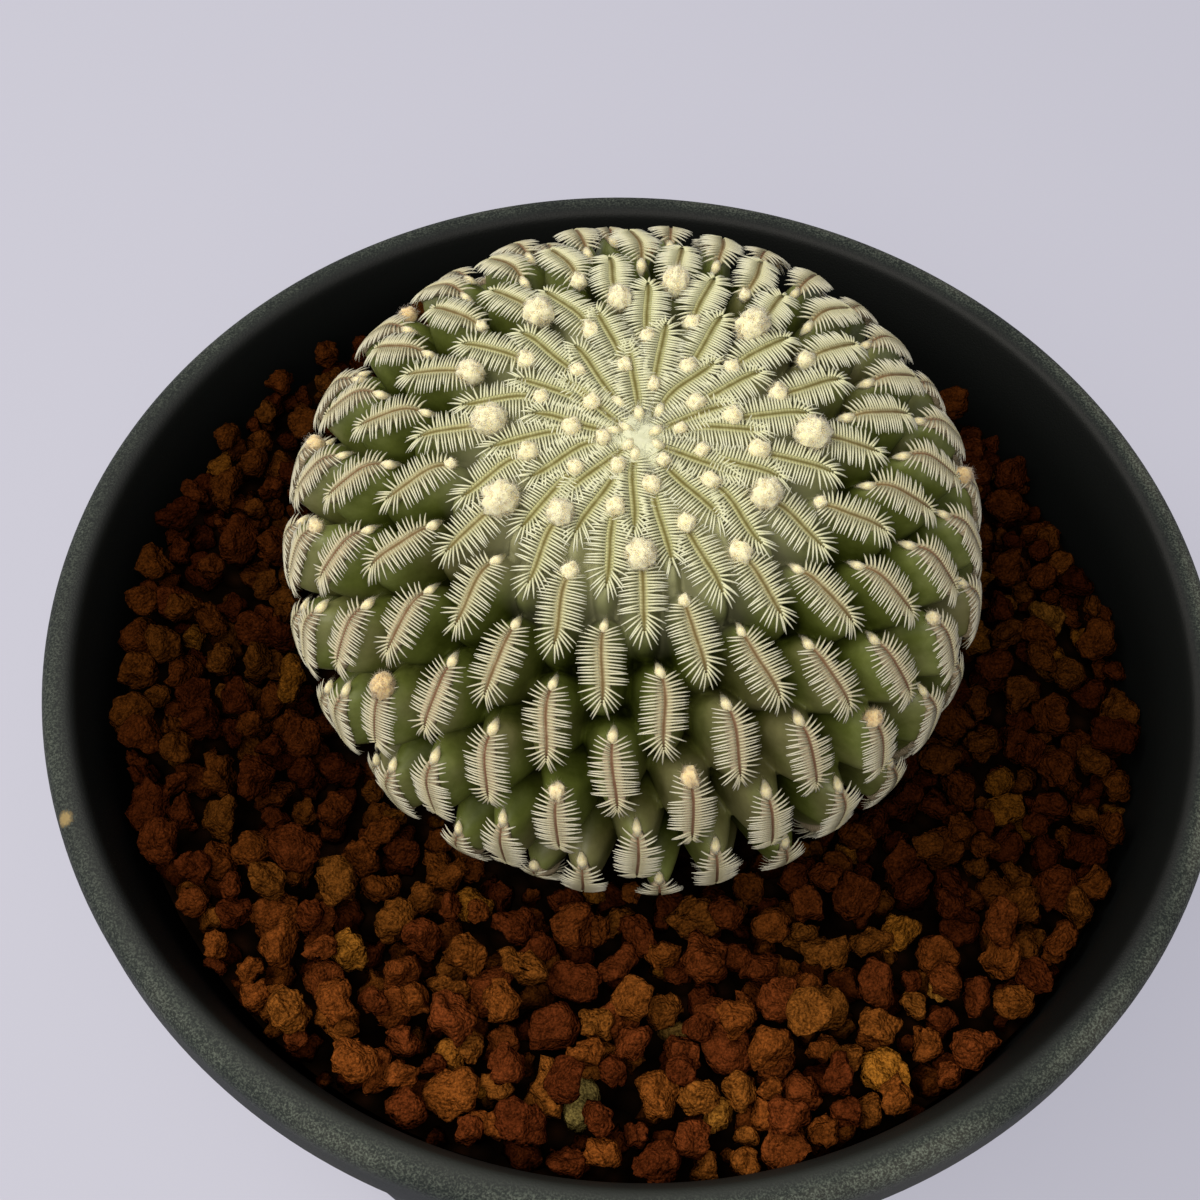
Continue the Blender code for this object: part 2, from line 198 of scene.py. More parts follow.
# One dried splash of pale mud on the rim, at the left front.
SPLASH = (-54.2 * MM, -23.5 * MM, 79.6 * MM)
to_splash = add(plastic, "ShaderNodeVectorMath", {"operation": "DISTANCE"}, i0=place,
                i1=SPLASH).outputs["Value"]
ragged = add(plastic, "ShaderNodeMath", {"operation": "MULTIPLY_ADD"}, i0=grit, i1=1.1 * MM,
             i2=to_splash)
splash = add(plastic, "ShaderNodeMapRange", Value=ragged, From_Min=1.5 * MM, From_Max=1.0 * MM)
muddy = add(plastic, "ShaderNodeMixRGB", Fac=splash, Color1=spotted, Color2=linear("#8F7B50"))
link(plastic, muddy, "Base Color")
matt = add(plastic, "ShaderNodeMapRange", Value=bloom_and_side_light, To_Min=0.58, To_Max=0.8)
link(plastic, matt, "Roughness")
gloss = add(plastic, "ShaderNodeMapRange", Value=open_rim, To_Min=0.12, To_Max=0.32)
link(plastic, gloss, "Specular IOR Level")
relief = add(plastic, "ShaderNodeBump", Height=grit, Strength=0.5, Distance=0.12 * MM)
link(plastic, relief, "Normal")
pot.data.materials.append(plastic)
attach(pot, "root")
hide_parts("pot")


# ---------------------------------------------------------------------------
# Gravel bed
# The fill under the surface layer: the same baked clay, seen only in the gaps
# between the grains on top, and painted nearly black there as their shade. It
# keeps its own solid, in a new finish.
# ---------------------------------------------------------------------------

# Baked clay crumbs, painted nearly black as the shade in the gaps, and quite without gloss.
damp = new_finish("damp_clay_fill", Roughness=0.95, Specular_IOR_Level=0.0)
place = add(damp, "ShaderNodeTexCoord").outputs["Object"]
crumbs = add(damp, "ShaderNodeTexVoronoi", Vector=place, Scale=420.0)
brown = add(damp, "ShaderNodeValToRGB", Fac=crumbs, stops=[
    (0.0, "#1C0E06"), (0.5, "#0C0603"), (1.0, "#030201")])
link(damp, brown, "Base Color")
lumps = add(damp, "ShaderNodeBump", Height=crumbs, Strength=1.0, Distance=1.0 * MM)
link(damp, lumps, "Normal")
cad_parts["gravel_bed"].material_slots[0].material = damp


# ---------------------------------------------------------------------------
# Stem
# One flattened, dark green stem. Its skin is raised in hatchet-shaped tubercles
# that grow from the crown one golden angle apart: narrow level crests, steep
# sides, and deep valleys between them. A waxy bloom greys the raised parts.
# ---------------------------------------------------------------------------

STEM_CENTRE = np.array([-0.8, 7.1, 85.2])
STEM_RADIUS = 34.7
STEM_RISE = 21.9
STEM_FULLNESS = 2.4        # power of its outline: 2 is an ellipse, and more is squarer
STEM_LEAN = math.radians(4.9)
STEM_BURIED = 19.0         # how far it goes on under its widest level
TUBERCLES = 180
DIVERGENCE = math.radians(137.516)
FIRST_TURN = math.radians(149.2)
# Distance of the n-th tubercle's upper end from the growing point: a cubic in n,
# and an easing term that fades over the first tubercles.
SPREAD = (-3.224, 0.5326, -0.002631, 0.00000962)
EASING, EASED_BY = 4.51, 12.0
# The spirals' middle moves from the crown to a point behind it in the first few mm.
CROWN = (-0.45, -0.10)
SPIRAL_MIDDLE = (0.09, 3.70)
MOVED_BY = 5.5
COMB_LENGTH = 8.2
CROWN_COMBS = 0.8          # the youngest combs are this much longer
HEADING = math.radians(5.0)
LIFT = math.radians(15.0)  # young combs at the sides turn up to the back
HANG = math.radians(18.0)  # and old ones down to the front
CREST_END = 1.3            # how far a crest goes on past its comb
CREST_FALL = 5.0           # a crest is level, then falls by this power towards its ends
CREST_FLAT = 0.3           # half width of its level top
FLANK_FALL = 1.25          # its sides fall by this power
CROWN_VALLEY, SHOULDER_VALLEY, SOIL_VALLEY = 0.7, 7.5, 0.3   # depths between the tubercles
STEM_ROUND, STEM_LEVELS = 480, 176

sweep = np.linspace(math.pi / 2, -math.asin((STEM_BURIED / STEM_RISE) ** (STEM_FULLNESS / 2)), 3000)
dome_radius = STEM_RADIUS * np.abs(np.cos(sweep)) ** (2 / STEM_FULLNESS)
dome_radius[0] = 0.0
dome_height = STEM_RISE * np.sign(np.sin(sweep)) * np.abs(np.sin(sweep)) ** (2 / STEM_FULLNESS)
steps = np.hypot(np.diff(dome_radius), np.diff(dome_height))
along_dome = np.concatenate([[0.0], np.cumsum(steps)])
DOME_END = along_dome[-1]


def ramp(value, low, high):
    """0 below low, 1 above high, and a smooth rise between them."""
    t = np.clip((value - low) / (high - low), 0.0, 1.0)
    return t * t * (3.0 - 2.0 * t)


def radius_at(s):
    """Radius of the dome at a distance from the crown along its surface."""
    return np.interp(s, along_dome, dome_radius)


def place_on_dome(s, turn, h):
    """Points at height h over the crests, s from the crown and turned about the stem."""
    r, z = radius_at(s), np.interp(s, along_dome, dome_height)
    ahead, behind = np.clip(s + 0.2, 0, DOME_END), np.clip(s - 0.2, 0, DOME_END)
    dr = radius_at(ahead) - radius_at(behind)
    dz = np.interp(ahead, along_dome, dome_height) - np.interp(behind, along_dome, dome_height)
    size = np.hypot(dr, dz)
    r, z = r - h * dz / size, z + h * dr / size
    lean = STEM_LEAN * ramp(z, -17.0, -3.0)
    x, y = r * np.cos(turn), r * np.sin(turn)
    y, z = y * np.cos(lean) - z * np.sin(lean), y * np.sin(lean) + z * np.cos(lean)
    return (np.stack([x, y, z], axis=-1) + STEM_CENTRE) * MM


# Where each comb lies: its upper end, then its slant and its middle, from the crown.
number = np.arange(TUBERCLES)
reach = sum(term * number ** power for power, term in enumerate(SPREAD))
reach = reach + EASING * np.exp(-number / EASED_BY)
growth = FIRST_TURN - number * DIVERGENCE
moved = 1.0 - np.exp(-reach / MOVED_BY)
x = reach * np.cos(growth) + CROWN[0] + (SPIRAL_MIDDLE[0] - CROWN[0]) * moved
y = reach * np.sin(growth) + CROWN[1] + (SPIRAL_MIDDLE[1] - CROWN[1]) * moved
top, top_turn = np.hypot(x, y), np.arctan2(y, x)
narrowing = radius_at(top) / top
lean = np.arctan2(np.sin(growth - top_turn) * narrowing, np.cos(growth - top_turn))
lift = LIFT * (1.0 - ramp(number, 5.0, 25.0)) - HANG * ramp(number, 60.0, 110.0)
lean = lean + HEADING + lift * np.cos(top_turn)
length = COMB_LENGTH + CROWN_COMBS * (1.0 - ramp(number, 15.0, 48.0)) - 0.8 * ramp(top, 40.0, 60.0)
out, across = length / 2 * np.cos(lean), length / 2 * np.sin(lean) / narrowing
x, y = (x + out * np.cos(top_turn) - across * np.sin(top_turn),
        y + out * np.sin(top_turn) + across * np.cos(top_turn))
middle, turn = np.hypot(x, y), np.arctan2(y, x)
swung = np.arctan2(np.sin(turn - top_turn), np.cos(turn - top_turn))
slant = lean - swung * radius_at(middle) / middle
half_width = np.clip(0.11 * (reach + length / 2), 0.9, 3.9)
age = ramp(reach, 8.0, 34.0)   # 0 for the youngest combs and 1 for the old ones


def valley_depth(s, angle):
    """Depth of the valleys: shallow in the crown, deep on the shoulders, gone at the soil."""
    away = np.hypot(s * np.cos(angle) - CROWN[0], s * np.sin(angle) - CROWN[1])
    return (CROWN_VALLEY + (SHOULDER_VALLEY - CROWN_VALLEY) * ramp(away, 4.0, 30.0)
            - (SHOULDER_VALLEY - SOIL_VALLEY) * ramp(s, DOME_END - 16.0, DOME_END))


depth = valley_depth(middle, turn)


def skin_height(s, angle):
    """Height of the skin, from 0 on a crest down to minus the valley depth."""
    px, py = s * np.cos(angle), s * np.sin(angle)
    dx = px[:, None] - (middle * np.cos(turn))[None]
    dy = py[:, None] - (middle * np.sin(turn))[None]
    down = dx * np.cos(turn) + dy * np.sin(turn)
    across = (dy * np.cos(turn) - dx * np.sin(turn)) * radius_at(middle) / middle
    u = down * np.cos(slant) + across * np.sin(slant)
    v = across * np.cos(slant) - down * np.sin(slant)
    flank = np.maximum(np.abs(v) - CREST_FLAT, 0.0) / (half_width - CREST_FLAT)
    fall = (np.abs(u) / (length / 2 + CREST_END)) ** CREST_FALL + flank ** FLANK_FALL
    return -valley_depth(s, angle) * np.clip(fall.min(axis=1), 0.0, 1.2)


bpy.ops.object.select_all(action="DESELECT")
bpy.ops.mesh.primitive_uv_sphere_add(segments=STEM_ROUND, ring_count=STEM_LEVELS, radius=1.0)
stem = bpy.context.object
stem.name = "stem_skin"
ball = np.empty(len(stem.data.vertices) * 3)
stem.data.vertices.foreach_get("co", ball)
ball = ball.reshape(-1, 3)
share = np.arccos(np.clip(ball[:, 2], -1, 1)) / math.pi
angle = np.arctan2(ball[:, 1], ball[:, 0])
SKIN_SHARE = 0.97          # the rest of the levels close the stem under the gravel
s = np.minimum(share / SKIN_SHARE, 1.0) * DOME_END
PARTS = 24                 # worked out in parts, to use less memory
heights = np.concatenate([skin_height(part_s, part_angle) for part_s, part_angle in
                          zip(np.array_split(s, PARTS), np.array_split(angle, PARTS))])
spots = place_on_dome(s, angle, heights)
under = np.clip((share - SKIN_SHARE) / (1 - SKIN_SHARE), 0, 1)
axis = STEM_CENTRE * MM
spots[:, :2] = axis[:2] + (spots[:, :2] - axis[:2]) * (1 - under)[:, None]
spots[:, 2] -= under * 1.5 * MM
stem.data.vertices.foreach_set("co", spots.reshape(-1))
raised = stem.data.attributes.new("raised", "FLOAT", "POINT")
raised.data.foreach_set("value", 1.0 + heights / np.maximum(valley_depth(s, angle), SOIL_VALLEY))
outer_part = stem.data.attributes.new("from_crown", "FLOAT", "POINT")
outer_part.data.foreach_set("value", s / DOME_END)
bpy.ops.object.shade_smooth()

# Cactus skin: waxy, so it has a soft gloss over a dark green that is grey-green on
# the raised parts, partly waxy bloom and partly painted light, and painted nearly
# black in the valleys as painted shade. It browns near the soil.
skin = new_finish("waxy_cactus_skin", IOR=1.45)
place = add(skin, "ShaderNodeTexCoord").outputs["Object"]
up = add(skin, "ShaderNodeAttribute", {"attribute_name": "raised"}).outputs["Fac"]
out = add(skin, "ShaderNodeAttribute", {"attribute_name": "from_crown"}).outputs["Fac"]
mottle = add(skin, "ShaderNodeTexNoise", Vector=place, Scale=260.0, Detail=5.0, Roughness=0.6)
flush = add(skin, "ShaderNodeTexNoise", Vector=place, Scale=75.0, Detail=2.0)
uneven = add(skin, "ShaderNodeMath", {"operation": "ADD"}, i0=mottle, i1=flush)
shift = add(skin, "ShaderNodeMath", {"operation": "MULTIPLY_ADD"}, i0=uneven, i1=0.9, i2=-0.9)
relief_shade = add(skin, "ShaderNodeMath", {"operation": "ADD"}, i0=up, i1=shift)
green = add(skin, "ShaderNodeValToRGB", Fac=relief_shade, stops=[
    (0.0, "#1B1F07"), (0.3, "#3A4113"), (0.65, "#5A6229"), (1.0, "#80884C")])
tired = add(skin, "ShaderNodeValToRGB", Fac=relief_shade, stops=[
    (0.0, "#1B1708"), (0.5, "#494425"), (1.0, "#78724F")])
low = add(skin, "ShaderNodeMapRange", Value=out, From_Min=0.74, From_Max=0.95)
patches = add(skin, "ShaderNodeMapRange", Value=flush, From_Min=0.48, From_Max=0.66, To_Max=0.8)
weary = add(skin, "ShaderNodeMath", {"operation": "MAXIMUM"}, i0=low, i1=patches)
tone = add(skin, "ShaderNodeMixRGB", Fac=weary, Color1=green, Color2=tired)
tender = add(skin, "ShaderNodeMapRange", Value=out, From_Min=0.29, From_Max=0.09)
young = add(skin, "ShaderNodeMixRGB", Fac=tender, Color1=tone, Color2=linear("#D8D7A8"))
link(skin, young, "Base Color")
gloss = add(skin, "ShaderNodeMapRange", Value=relief_shade, To_Min=0.6, To_Max=0.42)
link(skin, gloss, "Roughness")
# The gloss is turned down in the valleys as well, as painted shade.
dull = add(skin, "ShaderNodeMapRange", Value=relief_shade, From_Min=0.2, From_Max=0.9, To_Max=0.45)
link(skin, dull, "Specular IOR Level")
pores = add(skin, "ShaderNodeTexNoise", Vector=place, Scale=1500.0, Detail=2.0)
pitted = add(skin, "ShaderNodeBump", Height=pores, Strength=0.25, Distance=0.1 * MM)
link(skin, pitted, "Normal")
stem.data.materials.append(skin)
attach(stem, "root")
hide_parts("cactus")


# ---------------------------------------------------------------------------
# Areoles
# Along every crest runs one long narrow pad of felted tissue, from which the
# spines grow. Young pads are olive; old ones are cream with a brown groove.
# ---------------------------------------------------------------------------

YOUNG_PAD, OLD_PAD = 0.62, 0.95   # half of a pad's width
PAD_THICK = 0.36
PAD_START, PAD_STOP = 0.2, 0.8    # how far short of the tubercle's ends a pad is
SPINE_GAP = 0.30           # from one spine to the next
STIFF = 0.3                # how much of the crest's fall a stiff spine takes on beyond its root
chance = random.Random(3)
sway = np.array([chance.uniform(-0.4, 0.4) for _ in number]) * (1.2 - 0.5 * age)


def on_comb(k, u, v, h, root=None):
    """Points of tubercle k: u down its crest, v across it and h over it. What is stiff has a root,
    and follows the crest there."""
    bent = v + sway[k] * np.sin(math.pi * np.clip(u / length[k], -0.6, 0.6) * 1.6)
    down = u * np.cos(slant[k]) - bent * np.sin(slant[k])
    across = u * np.sin(slant[k]) + bent * np.cos(slant[k])
    stretch = middle[k] / radius_at(middle[k])
    px = (middle[k] + down) * np.cos(turn[k]) - across * stretch * np.sin(turn[k])
    py = (middle[k] + down) * np.sin(turn[k]) + across * stretch * np.cos(turn[k])
    s = np.hypot(px, py)
    level_u = u if root is None else root + STIFF * (u - root)
    to_end = np.clip(np.abs(level_u) / (length[k] / 2 + CREST_END), 0, 1.1)
    return place_on_dome(s, np.arctan2(py, px), h - depth[k] * to_end ** CREST_FALL)


def pattern_of(shape):
    """Corners and faces of a modelled shape, which is then removed."""
    corners = np.array([corner.co[:] for corner in shape.data.vertices])
    faces = [tuple(face.vertices[:]) for face in shape.data.polygons]
    bpy.data.objects.remove(shape)
    return corners, faces


def assemble(name, faces, copies, finish, slot, **tones):
    """One piece from the same faces on every array of corners; tones hold a value a corner."""
    corners = np.concatenate(copies)
    size = len(copies[0])
    all_faces = [[i + size * n for i in face] for n in range(len(copies)) for face in faces]
    mesh = bpy.data.meshes.new(name)
    mesh.from_pydata(corners.tolist(), [], all_faces)
    mesh.shade_smooth()
    for tone_name, values in tones.items():
        values = np.concatenate(values).astype(float)
        kind, field = ("FLOAT", "value") if values.ndim == 1 else ("FLOAT_VECTOR", "vector")
        mesh.attributes.new(tone_name, kind, "POINT").data.foreach_set(field, values.reshape(-1))
    mesh.materials.append(finish)
    piece = bpy.data.objects.new(name, mesh)
    bpy.context.scene.collection.objects.link(piece)
    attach(piece, "root")
    return piece


bpy.ops.object.select_all(action="DESELECT")
bpy.ops.mesh.primitive_uv_sphere_add(segments=12, ring_count=14, radius=1.0)
pad, pad_faces = pattern_of(bpy.context.object)
lengthwise, sideways, upwards = pad[:, 2], pad[:, 0], pad[:, 1]
girth = np.sqrt(np.clip(1 - np.abs(lengthwise) ** 3.0, 0, 1))
girth = girth / np.maximum(np.hypot(sideways, upwards), 1e-6)
copies, ages, offsets, alongs = [], [], [], []
for k in number:
    half = (length[k] - PAD_START - PAD_STOP) / 2
    u = lengthwise * half + (PAD_START - PAD_STOP) / 2
    v = sideways * girth * (YOUNG_PAD + (OLD_PAD - YOUNG_PAD) * age[k])
    groove = 0.12 * np.exp(-(v / 0.22) ** 2)
    h = np.where(upwards > 0, upwards * girth * PAD_THICK - groove, -0.5)
    copies.append(on_comb(k, u, v, h + 0.12))
    ages.append(np.full(len(u), age[k]))
    offsets.append(np.abs(v))
    alongs.append(u)

# Felted plant tissue: matt, with a nap.
felt = new_finish("felted_areole", Roughness=0.9, Specular_IOR_Level=0.2)
place = add(felt, "ShaderNodeTexCoord").outputs["Object"]
years = add(felt, "ShaderNodeAttribute", {"attribute_name": "age"}).outputs["Fac"]
off_middle = add(felt, "ShaderNodeAttribute", {"attribute_name": "off_middle"}).outputs["Fac"]
along = add(felt, "ShaderNodeAttribute", {"attribute_name": "along"}).outputs["Fac"]
fuzz = add(felt, "ShaderNodeTexNoise", Vector=place, Scale=1400.0, Detail=3.0)
# off_middle is in millimetres; the groove's edge is soft.
edge = add(felt, "ShaderNodeMath", {"operation": "MULTIPLY_ADD"}, i0=fuzz, i1=0.2, i2=off_middle)
groove = add(felt, "ShaderNodeMapRange", Value=edge, From_Min=0.14, From_Max=0.4)
middle_tone = add(felt, "ShaderNodeMixRGB", Fac=years, Color1=linear("#6A6234"), Color2=linear("#6E4F3A"))
side_tone = add(felt, "ShaderNodeMixRGB", Fac=years, Color1=linear("#B9B886"), Color2=linear("#BEAD90"))
# The sides are ribbed across by the roots of the spines, painted as darker stripes between them as painted
# shade.
phase = add(felt, "ShaderNodeMath", {"operation": "MULTIPLY"}, i0=along, i1=math.tau / SPINE_GAP)
ribs = add(felt, "ShaderNodeMath", {"operation": "SINE"}, i0=phase)
between = add(felt, "ShaderNodeMapRange", Value=ribs, From_Min=-1.0, From_Max=0.4,
              To_Min=0.62, To_Max=1.0)
painted_rib_shade = add(felt, "ShaderNodeVectorMath", {"operation": "SCALE"}, i0=side_tone, Scale=between)
felted = add(felt, "ShaderNodeMixRGB", Fac=groove, Color1=middle_tone, Color2=painted_rib_shade)
link(felt, felted, "Base Color")
nap = add(felt, "ShaderNodeBump", Height=fuzz, Strength=0.5, Distance=0.12 * MM)
link(felt, nap, "Normal")
assemble("areole_pads", pad_faces, copies, felt, "cactus_skin",
         age=ages, off_middle=offsets, along=alongs)


# ---------------------------------------------------------------------------
# Combs
# Each pad carries some twenty-three stiff white spines a side, laid out flat like
# a comb's teeth and fanned round its lower end. A spine is a tapered needle,
# broad at the root, where it touches its neighbours.
# ---------------------------------------------------------------------------

SPINE_REACH = 2.35         # from the pad's middle line to a tip
SPINE_TAPER = ((0.0, 0.145), (0.45, 0.125), (0.75, 0.09), (1.0, 0.035))   # half thickness along it
FAN = 6                    # spines each side that turn round the lower end
UPPER = 5                  # and that are shorter and lean back over the upper end

bpy.ops.object.select_all(action="DESELECT")
bpy.ops.mesh.primitive_cylinder_add(vertices=3, radius=1.0, depth=1.0, location=(0, 0, 0.5),
                                    end_fill_type="TRIFAN")
bpy.ops.object.mode_set(mode="EDIT")
for cut, _ in SPINE_TAPER[1:-1]:
    bpy.ops.mesh.select_all(action="SELECT")
    bpy.ops.mesh.bisect(plane_co=(0, 0, cut), plane_no=(0, 0, 1))
bpy.ops.object.mode_set(mode="OBJECT")
bpy.ops.object.transform_apply(location=True)
needle, needle_faces = pattern_of(bpy.context.object)
needle_share = needle[:, 2]
needle[:, :2] *= np.interp(needle_share, *zip(*SPINE_TAPER))[:, None]


def spine(k, u, side, heading, size, droop):
    """One spine of comb k from u on its pad, heading off its axis by that angle."""
    root_out = 0.16 + 0.24 * (1 - age[k])
    ahead = needle_share * (SPINE_REACH - root_out) * size
    du, dv = math.cos(heading) * ahead, math.sin(heading) * ahead * side
    stout = 1.0 + 0.15 * (1 - age[k])
    rim_u, rim_v = -math.sin(heading) * side * stout, math.cos(heading) * stout
    start_v = root_out * math.sin(heading) * side
    return on_comb(k, u + du + rim_u * needle[:, 0], start_v + dv + rim_v * needle[:, 0],
                   needle[:, 1] * 0.8 + 0.42 - droop * needle_share ** 2, root=u)


chance = random.Random(8)
copies, ages, tips = [], [], []
for k in number:
    start, stop = -length[k] / 2 + PAD_START + 0.45, length[k] / 2 - PAD_STOP - 0.3
    count = int(round((stop - start) / SPINE_GAP))
    comb_lean = chance.gauss(0, 3.0)
    for i in range(count + 1):
        share = i / count
        u = start + (stop - start) * share
        for side in (-1, 1):
            leant_back = max(0.0, 1 - i / UPPER)
            heading = 92 - 8 * share + 26 * leant_back + comb_lean * side + chance.gauss(0, 2.5)
            left = count - i
            if left < FAN:
                heading = 16 + 60 * left / FAN + chance.gauss(0, 4.0)
            size = 1 - 0.15 * max(0.0, 1 - left / 4) - 0.32 * leant_back
            size *= chance.uniform(0.94, 1.05) * (1.0 - 0.04 * age[k])
            if chance.random() < 0.04 * age[k]:
                size *= 0.55
            copies.append(spine(k, u, side, math.radians(heading), size, chance.uniform(0.2, 0.5)))
            ages.append(np.full(len(needle), age[k]))
            tips.append(needle_share)

# Horny spines: smooth and a little translucent, greenish when young, bone white when old.
horn = new_finish("white_spine", Roughness=0.45, IOR=1.5, Subsurface_Weight=0.1,
                  Subsurface_Radius=(0.3 * MM, 0.25 * MM, 0.2 * MM), Subsurface_Scale=1.0)
years = add(horn, "ShaderNodeAttribute", {"attribute_name": "age"}).outputs["Fac"]
tip = add(horn, "ShaderNodeAttribute", {"attribute_name": "tip"}).outputs["Fac"]
root = add(horn, "ShaderNodeMixRGB", Fac=years, Color1=linear("#CDCDA4"), Color2=linear("#B7AF8C"))
end = add(horn, "ShaderNodeMixRGB", Fac=years, Color1=linear("#DCDCC6"), Color2=linear("#D2CEBB"))
bone = add(horn, "ShaderNodeMixRGB", Fac=tip, Color1=root, Color2=end)
link(horn, bone, "Base Color")
half = len(copies) // 2
for name, part in (("comb_spines_upper", slice(half)), ("comb_spines_lower", slice(half, None))):
    assemble(name, needle_faces, copies[part], horn, "cactus_skin", age=ages[part], tip=tips[part])


# ---------------------------------------------------------------------------
# Wool
# The upper end of every pad bears a tuft of plant wool, a matted lump with loose
# hairs: a tapered tongue on most, a small ball near the crown, and a full ball on
# the dozen that flowered last. Those of the season before have yellowed.
# ---------------------------------------------------------------------------

HAIR_THICK = 0.018         # in lump radii
flowered = np.exp(-((number - 41.5) / 6.5) ** 2)
flowered_before = np.exp(-((number - 112) / 5.5) ** 2)

bpy.ops.object.select_all(action="DESELECT")
bpy.ops.mesh.primitive_cone_add(vertices=3, radius1=1.0, depth=1.0, location=(0, 0, 0.5))
bpy.ops.object.transform_apply(location=True)
hair, hair_faces = pattern_of(bpy.context.object)


def lumpy_ball(detail, seed, push):
    """A matted lump: a ball whose surface is pushed in and out."""
    bpy.ops.object.select_all(action="DESELECT")
    bpy.ops.mesh.primitive_ico_sphere_add(subdivisions=detail, radius=1.0)
    ball = bpy.context.object
    clumps = bpy.data.textures.new("wool_clumps", "CLOUDS")
    clumps.noise_scale = 0.35 + 0.05 * seed
    swell = ball.modifiers.new("clumps", "DISPLACE")
    swell.texture = clumps
    swell.strength = push
    bpy.ops.object.modifier_apply(modifier="clumps")
    return pattern_of(ball)


def with_hairs(lump, hairs, seed, swept, short, tall):
    """A lump of radius about 1 with hairs that stand out of it, bent over along swept. The third
    result is 1 on the lump's corners and 0 on the hairs'."""
    corners, faces = lump
    chance = random.Random(seed)
    parts, all_faces = [corners * 0.9], list(faces)
    for _ in range(hairs):
        out = np.array([chance.gauss(0, 1), chance.gauss(0, 1), chance.gauss(0, 1)])
        out /= np.linalg.norm(out)
        lying = out + np.array(swept) + [chance.gauss(0, 0.45) for _ in range(3)]
        lying /= np.linalg.norm(lying)
        side = np.cross(lying, [0.3, 0.5, 0.81])
        side /= np.linalg.norm(side)
        other = np.cross(lying, side)
        reach = hair[:, 2:] * chance.uniform(short, tall)
        first = sum(len(part) for part in parts)
        thick = (side * hair[:, :1] + other * hair[:, 1:2]) * HAIR_THICK
        parts.append(out * 0.75 + lying * reach + thick)
        all_faces += [tuple(i + first for i in face) for face in hair_faces]
    matted_down = np.arange(sum(len(part) for part in parts)) < len(corners)
    return np.concatenate(parts), all_faces, matted_down[:, None]


# Plant wool: matted threads that light passes through, a warm white, and tan once it has aged.
wool = new_finish("plant_wool", Roughness=1.0, Specular_IOR_Level=0.1, Subsurface_Weight=0.6,
                  Subsurface_Radius=(0.6 * MM, 0.55 * MM, 0.4 * MM), Subsurface_Scale=1.0,
                  Sheen_Weight=0.12, Sheen_Roughness=0.6)
place = add(wool, "ShaderNodeTexCoord").outputs["Object"]
dusty = add(wool, "ShaderNodeAttribute", {"attribute_name": "dusty"}).outputs["Fac"]
strands = add(wool, "ShaderNodeTexNoise", Vector=place, Scale=2200.0, Detail=4.0)
clean = add(wool, "ShaderNodeMixRGB", Fac=strands, Color1=linear("#FBEAB8"), Color2=linear("#FFF3C8"))
old = add(wool, "ShaderNodeMixRGB", Fac=strands, Color1=linear("#D2A973"), Color2=linear("#E9CB97"))
woolly = add(wool, "ShaderNodeMixRGB", Fac=dusty, Color1=clean, Color2=old)
link(wool, woolly, "Base Color")
# A lump is lit as the soft ball that it is: away points out of its middle, and is 0 on hairs.
away = add(wool, "ShaderNodeAttribute", {"attribute_name": "away"}).outputs["Vector"]
facing = add(wool, "ShaderNodeNewGeometry").outputs["Normal"]
surface = add(wool, "ShaderNodeVectorMath", {"operation": "SCALE"}, i0=facing, Scale=0.1)
both = add(wool, "ShaderNodeVectorMath", {"operation": "ADD"}, i0=away, i1=surface)
rounded_off = add(wool, "ShaderNodeVectorMath", {"operation": "NORMALIZE"}, i0=both)
matted = add(wool, "ShaderNodeBump", Height=strands, Strength=0.05, Distance=0.15 * MM, Normal=rounded_off)
link(wool, matted, "Normal")

# The crown's wool is new: denser and still greenish.
young_wool = new_finish("young_plant_wool", Roughness=1.0, Specular_IOR_Level=0.1, Sheen_Weight=0.4,
                        Sheen_Roughness=0.6)
place = add(young_wool, "ShaderNodeTexCoord").outputs["Object"]
strands = add(young_wool, "ShaderNodeTexNoise", Vector=place, Scale=1800.0, Detail=4.0)
pale = add(young_wool, "ShaderNodeMixRGB", Fac=strands, Color1=linear("#C2C5A2"), Color2=linear("#E0E1C6"))
link(young_wool, pale, "Base Color")

